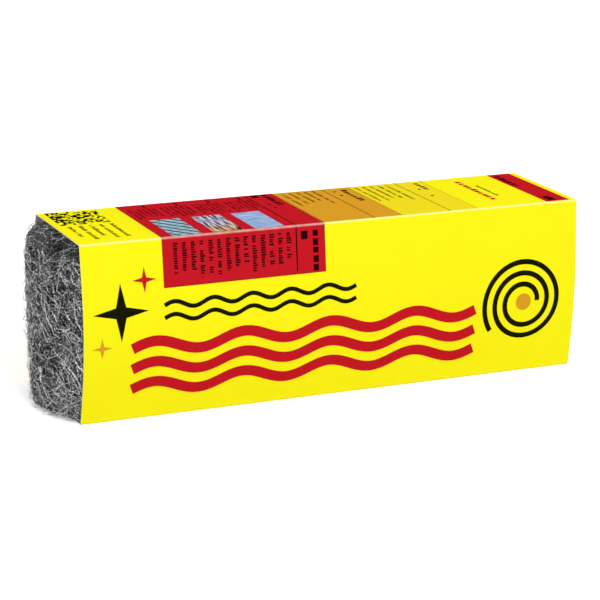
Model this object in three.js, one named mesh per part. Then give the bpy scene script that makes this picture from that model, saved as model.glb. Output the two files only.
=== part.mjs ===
import * as THREE from 'three';

// A pad of coarse steel wool in an open-ended sleeve of folded and glued card, standing on its
// long narrow side. Millimetres, +Z up, +X along the sleeve, the printed front panel facing -Y,
// the origin under the middle of the finished part. Until the last lines, x is measured from the
// middle of the sleeve.

// Card sleeve
const SLEEVE_LENGTH = 220;
const SLEEVE_DEPTH = 54;
const SLEEVE_HEIGHT = 72.5;
const CARD = 0.4;
const CREASE_INSIDE = 0.4; // inside of each fold
const CREASE_RADIUS = CREASE_INSIDE + CARD;
const SWELL_LEFT = 4.5; // how far the wool pushes the tall panels out at the left mouth
const SWELL_RIGHT = 2.3; // and at the right mouth
const SWELL_SKEW = 1.08; // above 1, the deepest place is below half height
const SEAM_RISE = 0.7; // free edge of the back panel, above the bottom fold
const SEAM_HEIGHT = CREASE_RADIUS + SEAM_RISE;
const FLAP_HEIGHT = 15; // top of the glue flap, lapped inside the back panel
const PANEL_STEPS = 18;
const CREASE_STEPS = 3;
const SLEEVE_STATIONS = 10;

// Wool pad
const WOOL_CLEARANCE = 0.3; // between the wool and the card
const NOSE_START = 2; // where each rounded end begins, inside the mouth
const PROTRUSION_TOP = 12.5; // how far the wool stands out of the left mouth at the top
const PROTRUSION_BOTTOM = 10.3; // and at the bottom
const PROTRUSION_RIGHT = 2; // and out of the right mouth, all the way down
const NOSE_SQUARENESS = 1.6; // 1 is a wedge, 2 an ellipse seen from above
const TOP_EDGE_RADIUS = 6.5;
const BOTTOM_EDGE_RADIUS = 1.5;
const TUFT_DEPTH = 1; // lumps on the two ends, above and below their mean surface
const TUFT_PITCH = 8;
const TUFT_SWAY = 1.5; // how far the rows of lumps wander, in radians of their pitch
const TUFT_FADE = 4; // distance past the mouth at which the lumps are at full depth
const NOSE_STEPS = 22;
const SIDE_STEPS = 6;
const WOOL_LEVELS = 22;
const EDGE_STEPS = 4;

// Printed ink
const INK = 0.08;
const INK_GAP = 0.06;
const INK_STEP = 4; // longest stretch of film between two bends of the swollen panel

// Fields of colour on the top, laid out in equal units between two bare margins
const FIELD_LEFT_MARGIN = 33.5;
const FIELD_RIGHT_MARGIN = 46.8;
const FIELD_BACK_MARGIN = 1.2; // bare strip along the back fold
const FIELD_GAP = 0.2; // between neighbouring fields
const RED_UNITS = 2;
const AMBER_UNITS = 1;
const PALE_UNITS = 1;
const RED_FIELD_DROP = 19.5; // how far the red field comes down the front
const RED_BAND_WIDTH = 11;
const RED_BAND_MARGIN = 3; // from the right mouth
const PICTURES_PER_UNIT = 2;
const PICTURE_COUNT = 3;
const PICTURE_GAP = 5;
const PICTURE_LENGTH = 26;
const LATTICE_SIZE = 21;
const LATTICE_CELLS = 9;
const LATTICE_LEFT_MARGIN = 3;
const LATTICE_BACK_MARGIN = 2;

// Coil on the front panel, near the right mouth
const COIL_MARGIN = 6;
const COIL_Z = 31;
const COIL_INNER_RADIUS = 6.5;
const COIL_OUTER_RADIUS = 19;
const COIL_TURNS = 2.6;
const COIL_LINE = 2.2;
const COIL_STEPS = 60;
const COIL_CORE_RADIUS = 3.6;
const COIL_CORE_SIDES = 20;

// Wavy strands on the front panel, in rows between a bare margin and the red field
const FRONT_MARGIN = 8.8;
const FRONT_ROWS = 5.2;
const WAVE_ROWS = [2.5, 1.5, 0.5];
const WAVE_LEFT_MARGIN = 20;
const WAVE_COIL_GAP = 2; // between the strands and the coil
const WAVE_WIDTH = 4.4;
const WAVE_HEIGHT = 2.4; // from the middle line to a crest
const WAVE_COUNT = 4; // crests along each strand
const WAVE_STEPS = 36;
const THIN_WAVE_ROWS = [4.4, 3.8];
const THIN_WAVE_LENGTH = 83;
const THIN_WAVE_WIDTH = 1.7;
const THIN_WAVE_HEIGHT = 1.3;
const THIN_WAVE_COUNT = 5;
const THIN_WAVE_STEPS = 40;

// Stars on the front panel: distance from the left mouth, drop below the top, middle to point
const BLACK_SPARKLE_MARGIN = 15.5;
const BLACK_SPARKLE_DROP = 27.5;
const BLACK_SPARKLE_REACH = 11.5;
const RED_SPARKLE_MARGIN = 25.5;
const RED_SPARKLE_DROP = 15.5;
const RED_SPARKLE_REACH = 5;
const AMBER_SPARKLE_MARGIN = 7.5;
const AMBER_SPARKLE_DROP = 41;
const AMBER_SPARKLE_REACH = 4.2;
const SPARKLE_POINTS = 4;
const SPARKLE_WAIST = 0.26; // middle to the hollow between two points, as a share of the reach

const materials = {
  wool: new THREE.MeshStandardMaterial({ color: 0x7a7a7d, roughness: 0.45, metalness: 0.85 }),
  card: new THREE.MeshStandardMaterial({ color: 0xfbf319, roughness: 0.4, metalness: 0 }),
  red: new THREE.MeshStandardMaterial({ color: 0xc31c26, roughness: 0.4, metalness: 0 }),
  amber: new THREE.MeshStandardMaterial({ color: 0xdb9e2a, roughness: 0.4, metalness: 0 }),
  pale: new THREE.MeshStandardMaterial({ color: 0xf3de23, roughness: 0.4, metalness: 0 }),
  black: new THREE.MeshStandardMaterial({ color: 0x1a1a0e, roughness: 0.4, metalness: 0 }),
  picture: new THREE.MeshStandardMaterial({ color: 0x8fa3b0, roughness: 0.4, metalness: 0 }),
};

const group = new THREE.Group();

function addMesh(name, positions, triangles, material) {
  const geometry = new THREE.BufferGeometry();
  geometry.setAttribute('position', new THREE.Float32BufferAttribute(positions.flat(), 3));
  geometry.setIndex(triangles.flat());
  geometry.computeVertexNormals();
  const mesh = new THREE.Mesh(geometry, material);
  mesh.name = name;
  group.add(mesh);
}

// Outward bow of the front and back panels, which runs out to nothing at the folds.
function swellAt(x, z) {
  const along = x / SLEEVE_LENGTH + 0.5;
  const swell = THREE.MathUtils.lerp(SWELL_LEFT, SWELL_RIGHT, along);
  const straight = SLEEVE_HEIGHT - 2 * CREASE_RADIUS;
  const down = THREE.MathUtils.clamp((SLEEVE_HEIGHT - CREASE_RADIUS - z) / straight, 0, 1);
  return swell * Math.sin(Math.PI * Math.pow(down, SWELL_SKEW));
}

// One fold of the sleeve as [y, z] points, turning clockwise from the angle start.
function creasePoints(centreY, centreZ, radius, start) {
  const points = [];
  for (let step = 0; step <= CREASE_STEPS; step += 1) {
    const angle = start - (Math.PI / 2) * (step / CREASE_STEPS);
    points.push([centreY + radius * Math.cos(angle), centreZ + radius * Math.sin(angle)]);
  }
  return points;
}

// The sleeve's section at x, inset from the outside: up the front, over the top, down the back and
// home along the bottom. Below stepHeight the back lies one card thickness further in, which is the
// glue flap: it shows outside as the seam and inside as the flap's top edge.
function sleeveSection(x, inset, stepHeight) {
  const side = SLEEVE_DEPTH / 2 - CREASE_RADIUS;
  const high = SLEEVE_HEIGHT - CREASE_RADIUS;
  const radius = CREASE_RADIUS - inset;
  const front = (z) => [-(SLEEVE_DEPTH / 2 + swellAt(x, z) - inset), z];
  const back = (z, lap) => [SLEEVE_DEPTH / 2 + swellAt(x, z) - inset - lap, z];
  const level = (step) => CREASE_RADIUS + (high - CREASE_RADIUS) * (step / PANEL_STEPS);
  const points = [];
  for (let step = 1; step < PANEL_STEPS; step += 1) {
    points.push(front(level(step)));
  }
  points.push(...creasePoints(-side, high, radius, Math.PI));
  points.push(...creasePoints(side, high, radius, Math.PI / 2));
  const levels = [];
  for (let step = PANEL_STEPS - 1; step > 0; step -= 1) {
    levels.push(level(step));
  }
  points.push(...levels.filter((z) => z > stepHeight + CARD).map((z) => back(z, 0)));
  points.push(back(stepHeight, 0));
  points.push(back(stepHeight, CARD));
  points.push(...levels.filter((z) => z < stepHeight - CARD).map((z) => back(z, CARD)));
  points.push(...creasePoints(side - CARD, CREASE_RADIUS, radius, 0));
  points.push(...creasePoints(-side, CREASE_RADIUS, radius, -Math.PI / 2));
  return points;
}

// Wall between neighbouring stations of a closed loop of points. The first index of the loops is
// base, and flip turns the wall inside out.
function loopWall(base, stations, count, flip) {
  const triangles = [];
  for (let station = 0; station < stations; station += 1) {
    for (let step = 0; step < count; step += 1) {
      const next = (step + 1) % count;
      const a = base + station * count + step;
      const b = base + station * count + next;
      const c = b + count;
      const d = a + count;
      triangles.push(flip ? [a, b, c] : [a, c, b], flip ? [a, c, d] : [a, d, c]);
    }
  }
  return triangles;
}

// Flat ring between an outline and the hole in it, wound anticlockwise. The indices run through the
// outline and then through the hole.
function flatRing(outline, hole) {
  const contour = outline.map(([u, v]) => new THREE.Vector2(u, v));
  const inner = hole.map(([u, v]) => new THREE.Vector2(u, v));
  const all = [...contour, ...inner];
  return THREE.ShapeUtils.triangulateShape(contour, [inner]).map(([a, b, c]) => {
    const turn = THREE.ShapeUtils.area([all[a], all[b], all[c]]);
    return turn > 0 ? [a, b, c] : [a, c, b];
  });
}

function addSleeve() {
  const outer = [];
  const inner = [];
  for (let station = 0; station <= SLEEVE_STATIONS; station += 1) {
    const x = SLEEVE_LENGTH * (station / SLEEVE_STATIONS - 0.5);
    outer.push(sleeveSection(x, 0, SEAM_HEIGHT).map(([y, z]) => [x, y, z]));
    inner.push(sleeveSection(x, CARD, FLAP_HEIGHT).map(([y, z]) => [x, y, z]));
  }
  const outerCount = outer[0].length;
  const innerCount = inner[0].length;
  const innerBase = outer.length * outerCount;
  const triangles = [
    ...loopWall(0, SLEEVE_STATIONS, outerCount, false),
    ...loopWall(innerBase, SLEEVE_STATIONS, innerCount, true),
  ];
  for (const station of [0, SLEEVE_STATIONS]) {
    const flat = (loop) => loop.map(([, y, z]) => [y, z]);
    const place = (index) => (index < outerCount
      ? station * outerCount + index
      : innerBase + station * innerCount + index - outerCount);
    for (const [a, b, c] of flatRing(flat(outer[station]), flat(inner[station]))) {
      triangles.push(station === 0
        ? [place(a), place(c), place(b)]
        : [place(a), place(b), place(c)]);
    }
  }
  addMesh('card_sleeve', [...outer.flat(), ...inner.flat()], triangles, materials.card);
}

// Lumps that stand out of the wool's ends and fade away towards the mouth.
function tuftAt(x, y, z) {
  const past = THREE.MathUtils.clamp((Math.abs(x) - SLEEVE_LENGTH / 2) / TUFT_FADE, 0, 1);
  const sway = Math.sin((Math.PI * y) / TUFT_PITCH);
  const row = Math.sin((2 * Math.PI * z) / TUFT_PITCH + TUFT_SWAY * sway);
  const column = Math.cos((Math.PI * y) / TUFT_PITCH);
  return TUFT_DEPTH * past * row * column;
}

// Outline of the pad at height z, seen from above and anticlockwise. It follows the swollen panels,
// and its ends are superellipses.
function woolOutline(z, inset) {
  const frontGap = CARD + WOOL_CLEARANCE;
  const backGap = 2 * CARD + WOOL_CLEARANCE;
  const front = (x) => -(SLEEVE_DEPTH / 2 + swellAt(x, z) - frontGap - inset);
  const back = (x) => SLEEVE_DEPTH / 2 + swellAt(x, z) - backGap - inset;
  const up = z / SLEEVE_HEIGHT;
  const leftProtrusion = THREE.MathUtils.lerp(PROTRUSION_BOTTOM, PROTRUSION_TOP, up);
  const noseX = SLEEVE_LENGTH / 2 - NOSE_START;
  const points = [];
  for (const end of [1, -1]) {
    const protrusion = end > 0 ? PROTRUSION_RIGHT : leftProtrusion;
    const reach = protrusion + NOSE_START - inset;
    const middle = (front(end * noseX) + back(end * noseX)) / 2;
    const half = (back(end * noseX) - front(end * noseX)) / 2;
    for (let step = 0; step <= NOSE_STEPS; step += 1) {
      const angle = Math.PI * (step / NOSE_STEPS - 0.5);
      const out = Math.pow(Math.abs(Math.cos(angle)), 2 / NOSE_SQUARENESS);
      const across = Math.sign(angle) * Math.pow(Math.abs(Math.sin(angle)), 2 / NOSE_SQUARENESS);
      const x = end * (noseX + reach * out);
      const y = middle + end * half * across;
      points.push([x + end * tuftAt(x, y, z), y, z]);
    }
    for (let step = 1; step < SIDE_STEPS; step += 1) {
      const x = end * noseX * (1 - 2 * (step / SIDE_STEPS));
      points.push([x, end > 0 ? back(x) : front(x), z]);
    }
  }
  return points;
}

function addWool() {
  const lowest = CARD + WOOL_CLEARANCE;
  const highest = SLEEVE_HEIGHT - CARD - WOOL_CLEARANCE;
  const outlines = [];
  for (let step = 0; step <= EDGE_STEPS; step += 1) {
    const angle = (Math.PI / 2) * (step / EDGE_STEPS);
    const rise = BOTTOM_EDGE_RADIUS * (1 - Math.cos(angle));
    outlines.push(woolOutline(lowest + rise, BOTTOM_EDGE_RADIUS * (1 - Math.sin(angle))));
  }
  const low = lowest + BOTTOM_EDGE_RADIUS;
  const high = highest - TOP_EDGE_RADIUS;
  for (let step = 1; step < WOOL_LEVELS; step += 1) {
    outlines.push(woolOutline(low + (high - low) * (step / WOOL_LEVELS), 0));
  }
  for (let step = 0; step <= EDGE_STEPS; step += 1) {
    const angle = (Math.PI / 2) * (step / EDGE_STEPS);
    const rise = TOP_EDGE_RADIUS * Math.sin(angle);
    outlines.push(woolOutline(high + rise, TOP_EDGE_RADIUS * (1 - Math.cos(angle))));
  }
  const count = outlines[0].length;
  const last = (outlines.length - 1) * count;
  const underMiddle = outlines.length * count;
  const triangles = loopWall(0, outlines.length - 1, count, true);
  for (let step = 0; step < count; step += 1) {
    const next = (step + 1) % count;
    triangles.push([underMiddle, next, step], [underMiddle + 1, last + step, last + next]);
  }
  const middles = [[0, 0, lowest], [0, 0, highest]];
  addMesh('wool_pad', [...outlines.flat(), ...middles], triangles, materials.wool);
}

// Places on the print are [x, s], with s measured round the card from the middle of the fold
// between the front and the top: down the front below 0, and back across the top above 0.
const HALF_CREASE = (CREASE_RADIUS * Math.PI) / 4;
const TOP_FLAT = SLEEVE_DEPTH - 2 * CREASE_RADIUS;
const FIELD_LEFT = -SLEEVE_LENGTH / 2 + FIELD_LEFT_MARGIN;
const FIELD_ROOM = SLEEVE_LENGTH - FIELD_LEFT_MARGIN - FIELD_RIGHT_MARGIN;
const FIELD_UNIT = FIELD_ROOM / (RED_UNITS + AMBER_UNITS + PALE_UNITS);
const COIL_X = SLEEVE_LENGTH / 2 - COIL_MARGIN - COIL_OUTER_RADIUS;

function downFront(z) {
  return z - (SLEEVE_HEIGHT - CREASE_RADIUS) - HALF_CREASE;
}

function acrossTop(y) {
  return y + SLEEVE_DEPTH / 2 - CREASE_RADIUS + HALF_CREASE;
}

function onCard(x, s, lift) {
  const side = SLEEVE_DEPTH / 2 - CREASE_RADIUS;
  const high = SLEEVE_HEIGHT - CREASE_RADIUS;
  const radius = CREASE_RADIUS + lift;
  if (s < -HALF_CREASE) {
    const z = high + s + HALF_CREASE;
    return [x, -(SLEEVE_DEPTH / 2 + swellAt(x, z) + lift), z];
  }
  if (s < HALF_CREASE) {
    const turn = Math.PI / 4 + s / CREASE_RADIUS;
    return [x, -side - radius * Math.cos(turn), high + radius * Math.sin(turn)];
  }
  const past = s - HALF_CREASE - TOP_FLAT;
  if (past <= 0) {
    return [x, side + past, SLEEVE_HEIGHT + lift];
  }
  const turn = past / CREASE_RADIUS;
  return [x, side + radius * Math.sin(turn), high + radius * Math.cos(turn)];
}

// A closed film of ink over flat faces given by [x, s] places, wound anticlockwise.
function addFilm(name, places, faces, material, level = 0) {
  const lift = INK_GAP + level * (INK + INK_GAP);
  const under = places.map(([x, s]) => onCard(x, s, lift));
  const over = places.map(([x, s]) => onCard(x, s, lift + INK));
  const count = places.length;
  const edges = new Map();
  const triangles = [];
  for (const [a, b, c] of faces) {
    triangles.push([a, c, b], [a + count, b + count, c + count]);
    for (const [from, to] of [[a, b], [b, c], [c, a]]) {
      edges.set(`${from},${to}`, [from, to]);
    }
  }
  for (const [from, to] of edges.values()) {
    if (!edges.has(`${to},${from}`)) {
      triangles.push([from, to, to + count], [from, to + count, from + count]);
    }
  }
  addMesh(name, [...under, ...over], triangles, material);
}

// Faces over a grid of places, with columns along the first direction and rows to its left.
function gridFilm(name, columns, rows, placeAt, material, level = 0, keep = () => true) {
  const places = [];
  for (let column = 0; column <= columns; column += 1) {
    for (let row = 0; row <= rows; row += 1) {
      places.push(placeAt(column, row));
    }
  }
  const faces = [];
  for (let column = 0; column < columns; column += 1) {
    for (let row = 0; row < rows; row += 1) {
      const a = column * (rows + 1) + row;
      const b = a + rows + 1;
      if (keep(column, row)) {
        faces.push([a, b, b + 1], [a, b + 1, a + 1]);
      }
    }
  }
  addFilm(name, places, faces, material, level);
}

// Even steps between two values, none longer than INK_STEP.
function evenSteps(from, to, longest = INK_STEP) {
  const count = Math.max(1, Math.ceil((to - from) / longest));
  return Array.from({ length: count + 1 }, (_, step) => from + (to - from) * (step / count));
}

function addField(name, left, right, levels, material, level = 0) {
  const across = evenSteps(left, right, SLEEVE_LENGTH / SLEEVE_STATIONS);
  const placeAt = (column, row) => [across[column], levels[row]];
  gridFilm(name, across.length - 1, levels.length - 1, placeAt, material, level);
}

function addFields() {
  const creaseStep = (2 * HALF_CREASE) / CREASE_STEPS;
  const topStart = HALF_CREASE;
  const topEnd = HALF_CREASE + TOP_FLAT;
  const redLevels = [
    ...evenSteps(downFront(SLEEVE_HEIGHT - RED_FIELD_DROP), -HALF_CREASE),
    ...evenSteps(-HALF_CREASE, topStart, creaseStep).slice(1),
    ...evenSteps(topEnd, topEnd + HALF_CREASE, creaseStep),
  ];
  const topLevels = [topStart, acrossTop(SLEEVE_DEPTH / 2 - FIELD_BACK_MARGIN)];
  const amberLeft = FIELD_LEFT + RED_UNITS * FIELD_UNIT;
  const paleLeft = amberLeft + AMBER_UNITS * FIELD_UNIT;
  const paleRight = paleLeft + PALE_UNITS * FIELD_UNIT;
  const bandRight = SLEEVE_LENGTH / 2 - RED_BAND_MARGIN;
  addField('print_red_field', FIELD_LEFT, amberLeft - FIELD_GAP, redLevels, materials.red);
  addField('print_amber_field', amberLeft, paleLeft - FIELD_GAP, topLevels, materials.amber);
  addField('print_pale_field', paleLeft, paleRight, topLevels, materials.pale);
  addField('print_red_band', bandRight - RED_BAND_WIDTH, bandRight, topLevels, materials.red);
  const pitch = FIELD_UNIT / PICTURES_PER_UNIT;
  for (let index = 0; index < PICTURE_COUNT; index += 1) {
    const left = FIELD_LEFT + PICTURE_GAP + index * pitch;
    const levels = [topStart, topStart + PICTURE_LENGTH];
    const right = left + pitch - PICTURE_GAP;
    addField(`print_picture_${index + 1}`, left, right, levels, materials.picture, 1);
  }
}

function addLattice() {
  const cell = LATTICE_SIZE / LATTICE_CELLS;
  const left = -SLEEVE_LENGTH / 2 + LATTICE_LEFT_MARGIN;
  const near = acrossTop(SLEEVE_DEPTH / 2 - LATTICE_BACK_MARGIN - LATTICE_SIZE);
  const placeAt = (column, row) => [left + column * cell, near + row * cell];
  const keep = (column, row) => column % 2 === 0 || row % 2 === 0;
  gridFilm('print_lattice', LATTICE_CELLS, LATTICE_CELLS, placeAt, materials.black, 0, keep);
}

// A strand of constant width along a wavy line on the front panel.
function addWave(name, wave, material) {
  const { left, length, width, height, count, middle, steps, rows } = wave;
  const placeAt = (step, row) => {
    const along = step / steps;
    const phase = 2 * Math.PI * count * along;
    const slope = ((2 * Math.PI * count) / length) * height * Math.cos(phase);
    const offset = width * (row / rows - 0.5);
    const stretch = Math.hypot(1, slope);
    const x = left + length * along - (offset * slope) / stretch;
    const z = middle + height * Math.sin(phase) + offset / stretch;
    return [x, downFront(z)];
  };
  gridFilm(name, steps, rows, placeAt, material);
}

function addWaves() {
  const pitch = (SLEEVE_HEIGHT - RED_FIELD_DROP - FRONT_MARGIN) / FRONT_ROWS;
  const left = -SLEEVE_LENGTH / 2 + WAVE_LEFT_MARGIN;
  const right = COIL_X - COIL_OUTER_RADIUS - COIL_LINE / 2 - WAVE_COIL_GAP;
  WAVE_ROWS.forEach((row, index) => {
    addWave(`print_wave_${index + 1}`, {
      left,
      length: right - left,
      width: WAVE_WIDTH,
      height: WAVE_HEIGHT,
      count: WAVE_COUNT,
      middle: FRONT_MARGIN + row * pitch,
      steps: WAVE_STEPS,
      rows: Math.ceil(WAVE_WIDTH / INK_STEP),
    }, materials.red);
  });
  THIN_WAVE_ROWS.forEach((row, index) => {
    addWave(`print_thin_wave_${index + 1}`, {
      left: FIELD_LEFT,
      length: THIN_WAVE_LENGTH,
      width: THIN_WAVE_WIDTH,
      height: THIN_WAVE_HEIGHT,
      count: THIN_WAVE_COUNT,
      middle: FRONT_MARGIN + row * pitch,
      steps: THIN_WAVE_STEPS,
      rows: 1,
    }, materials.black);
  });
}

// A loose coil, as of one strand wound up, opening out anticlockwise.
function addCoil() {
  const growth = (COIL_OUTER_RADIUS - COIL_INNER_RADIUS) / COIL_STEPS;
  const placeAt = (step, row) => {
    const angle = 2 * Math.PI * COIL_TURNS * (step / COIL_STEPS);
    const radius = COIL_INNER_RADIUS + growth * step - COIL_LINE * (row - 0.5);
    const z = COIL_Z + radius * Math.sin(angle);
    return [COIL_X + radius * Math.cos(angle), downFront(z)];
  };
  gridFilm('print_coil', COIL_STEPS, 1, placeAt, materials.black);
}

// A spot on the front panel about [x, z], as scaled copies of its outline of [dx, dz] offsets.
function addSpot(name, [x, z], outline, material) {
  const places = [[x, downFront(z)]];
  const faces = [];
  const count = outline.length;
  const rings = Math.ceil(Math.hypot(...outline[0]) / INK_STEP);
  for (let ring = 1; ring <= rings; ring += 1) {
    outline.forEach(([dx, dz], index) => {
      places.push([x + (dx * ring) / rings, downFront(z + (dz * ring) / rings)]);
      const a = 1 + (ring - 1) * count + index;
      const b = 1 + (ring - 1) * count + ((index + 1) % count);
      if (ring === 1) {
        faces.push([0, a, b]);
      } else {
        faces.push([a - count, a, b], [a - count, b, b - count]);
      }
    });
  }
  addFilm(name, places, faces, material);
}

// A star with hollow sides, starting at its right-hand point.
function sparkleOutline(reach) {
  const corners = Array.from({ length: 2 * SPARKLE_POINTS }, (_, index) => {
    const angle = (Math.PI * index) / SPARKLE_POINTS;
    const radius = index % 2 === 0 ? reach : reach * SPARKLE_WAIST;
    return [radius * Math.cos(angle), radius * Math.sin(angle)];
  });
  return corners.flatMap(([x, z], index) => {
    const [nextX, nextZ] = corners[(index + 1) % corners.length];
    const shares = evenSteps(0, Math.hypot(nextX - x, nextZ - z)).map((at, _, all) => at / all.at(-1));
    return shares.slice(0, -1).map((share) => [x + (nextX - x) * share, z + (nextZ - z) * share]);
  });
}

function addSpots() {
  const circle = Array.from({ length: COIL_CORE_SIDES }, (_, index) => {
    const angle = (2 * Math.PI * index) / COIL_CORE_SIDES;
    return [COIL_CORE_RADIUS * Math.cos(angle), COIL_CORE_RADIUS * Math.sin(angle)];
  });
  addSpot('print_coil_core', [COIL_X, COIL_Z], circle, materials.amber);
  const sparkles = [
    [BLACK_SPARKLE_MARGIN, BLACK_SPARKLE_DROP, BLACK_SPARKLE_REACH, materials.black],
    [RED_SPARKLE_MARGIN, RED_SPARKLE_DROP, RED_SPARKLE_REACH, materials.red],
    [AMBER_SPARKLE_MARGIN, AMBER_SPARKLE_DROP, AMBER_SPARKLE_REACH, materials.amber],
  ];
  sparkles.forEach(([margin, drop, reach, material], index) => {
    const middle = [-SLEEVE_LENGTH / 2 + margin, SLEEVE_HEIGHT - drop];
    addSpot(`print_sparkle_${index + 1}`, middle, sparkleOutline(reach), material);
  });
}

addWool();
addSleeve();
addFields();
addLattice();
addWaves();
addCoil();
addSpots();

const middle = new THREE.Box3().setFromObject(group).getCenter(new THREE.Vector3());
for (const mesh of group.children) {
  mesh.geometry.translate(-middle.x, 0, 0);
}

export default group;
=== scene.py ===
"""A pad of coarse steel wool in its printed card sleeve, standing on a pale floor."""

import math

import bpy
from mathutils import Matrix, Vector, noise
from mathutils.geometry import tessellate_polygon


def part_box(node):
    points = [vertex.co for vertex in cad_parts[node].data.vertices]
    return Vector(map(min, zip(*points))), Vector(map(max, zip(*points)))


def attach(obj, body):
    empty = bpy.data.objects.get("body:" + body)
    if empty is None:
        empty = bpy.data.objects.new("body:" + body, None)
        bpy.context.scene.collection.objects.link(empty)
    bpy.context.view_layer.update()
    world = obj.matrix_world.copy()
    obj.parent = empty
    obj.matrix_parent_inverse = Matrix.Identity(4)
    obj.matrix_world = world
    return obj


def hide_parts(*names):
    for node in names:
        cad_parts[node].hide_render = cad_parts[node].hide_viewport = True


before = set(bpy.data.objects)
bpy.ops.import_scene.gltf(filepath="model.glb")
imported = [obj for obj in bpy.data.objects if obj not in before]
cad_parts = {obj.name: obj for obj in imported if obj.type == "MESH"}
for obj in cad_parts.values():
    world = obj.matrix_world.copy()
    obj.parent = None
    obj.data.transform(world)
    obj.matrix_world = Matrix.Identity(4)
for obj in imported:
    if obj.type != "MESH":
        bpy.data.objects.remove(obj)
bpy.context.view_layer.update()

# Sizes are in millimetres and are turned into metres where a mesh is made. Until then x is
# measured from the middle of the sleeve, which is MIDDLE_X in the frame.
MM = 0.001
SLEEVE_LOW, SLEEVE_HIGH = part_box("card_sleeve")
MIDDLE_X = (SLEEVE_LOW[0] + SLEEVE_HIGH[0]) / 2 / MM

# Card sleeve
LENGTH = 220
DEPTH = 54
HEIGHT = 72.5
CARD = 0.4
CREASE = 0.8
SWELL_LEFT = 4.5
SWELL_RIGHT = 2.3
SWELL_SKEW = 1.08
SEAM_HEIGHT = 1.5
FLAP_HEIGHT = 15
PANEL_STEPS = 54
CREASE_STEPS = 8
ALONG_STEPS = 44
HALF_CREASE = CREASE * math.pi / 4
TOP_FLAT = DEPTH - 2 * CREASE

# Steel wool
CLEARANCE = 0.3
NOSE_START = 2
PROTRUSION_TOP = 12.5
PROTRUSION_BOTTOM = 10.3
PROTRUSION_RIGHT = 2
SQUARENESS = 1.6
TOP_EDGE = 6.5
BOTTOM_EDGE = 1.5
TUFT_DEPTH = 0.6
TUFT_PITCH = 8
TUFT_SWAY = 1.5
TUFT_FADE = 4
FLOOR_GAP = 0.2
GUIDE_DEPTH = 7  # how far inside the mouth the loose fibres begin
CORE_INSET = 2.2  # dense wool below the loose fibres
CORE_LIMIT = 0.4  # the most that its lumps stand out
LUMPS = (0.5, 7, 2)  # height, pitch and seed
WISPS = (0.35, 1.6, 9)
BOTTOM_STEPS = 8
TOP_STEPS = 12
CORE_STEPS = (80, 60)  # over one end and along one side
GUIDE_STEPS = 48
GUIDE_UNDER = (9, 6, 3)  # the guide folds in this far below the pad
GUIDE_OVER = (2.5, 5, 7.5)

# Printed ink
INK = 0.04
INK_GAP = 0.02
INK_STEP = 2
FIELD_LEFT = -76.5
FIELD_UNIT = 34.925
FIELD_GAP = 0.2
FIELD_BACK_MARGIN = 1.2
RED_DROP = 19.5
BAND_LEFT = 96
BAND_WIDTH = 11
PICTURE_GAP = 5
PICTURE_LENGTH = 26
PICTURE_COUNT = 3
LATTICE_LEFT = -107
LATTICE_SIZE = 21
LATTICE_BACK_MARGIN = 2
LATTICE_CELLS = 19
FRONT_MARGIN = 8.8
ROW_PITCH = 8.5
WAVE_STEPS = 160
# ink, rows, left, right, height, how many crests, and width
WAVES = {
    "wave": ("red", (2.5, 1.5, 0.5), -90, 61.9, 2.4, 4, 4.4),
    "thin_wave": ("black", (4.4, 3.8), FIELD_LEFT, FIELD_LEFT + 83, 1.3, 5, 1.7),
}
COIL_X = 85
COIL_Z = 31
COIL_INNER = 6.5
COIL_OUTER = 19
COIL_TURNS = 2.6
COIL_LINE = 2.2
COIL_STEPS = 180
COIL_CORE = 3.6
COIL_CORNERS = 48
# ink, x, z and reach
SPARKLES = (
    ("black", -94.5, 45, 11.5),
    ("red", -84.5, 57, 5),
    ("amber", -102.5, 31.5, 4.2),
)
SPARKLE_POINTS = 4
SPARKLE_WAIST = 0.26


def srgb(red, green, blue):
    """The linear colour of a printed colour given as 0 to 255."""
    def linear(value):
        share = value / 255
        return share / 12.92 if share <= 0.04045 else ((share + 0.055) / 1.055) ** 2.4
    return (linear(red), linear(green), linear(blue), 1)


YELLOW = srgb(252, 243, 26)
RED = srgb(196, 26, 38)
AMBER = srgb(219, 157, 40)
PALE = srgb(243, 221, 34)
BLACK = srgb(24, 24, 4)
BLACK_ON_RED = srgb(46, 6, 8)
BOARD = srgb(206, 205, 201)
CUT_EDGE = srgb(240, 239, 234)


def add_object(name, data):
    thing = bpy.data.objects.new(name, data)
    bpy.context.scene.collection.objects.link(thing)
    return thing


# Camera

CAMERA_PLACE = Vector((MIDDLE_X - 377.93, -812.89, 289.77)) * MM
CAMERA_AZIMUTH = math.radians(-24.666)
CAMERA_ELEVATION = math.radians(16.023)
CAMERA_ROLL = math.radians(1.0966)
CAMERA_LENS = 134.475


def make_camera():
    back = Vector((
        math.sin(CAMERA_AZIMUTH) * math.cos(CAMERA_ELEVATION),
        -math.cos(CAMERA_AZIMUTH) * math.cos(CAMERA_ELEVATION),
        math.sin(CAMERA_ELEVATION),
    ))
    right = Vector((0, 0, 1)).cross(back).normalized()
    up = back.cross(right)
    level = Matrix((right, up, back)).transposed().to_4x4()
    data = bpy.data.cameras.new("camera")
    data.lens = CAMERA_LENS
    data.sensor_width = 36
    camera = add_object("camera", data)
    turn = Matrix.Rotation(CAMERA_ROLL, 4, "Z")
    camera.matrix_world = Matrix.Translation(CAMERA_PLACE) @ level @ turn
    bpy.context.scene.camera = camera


# Meshes

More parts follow.
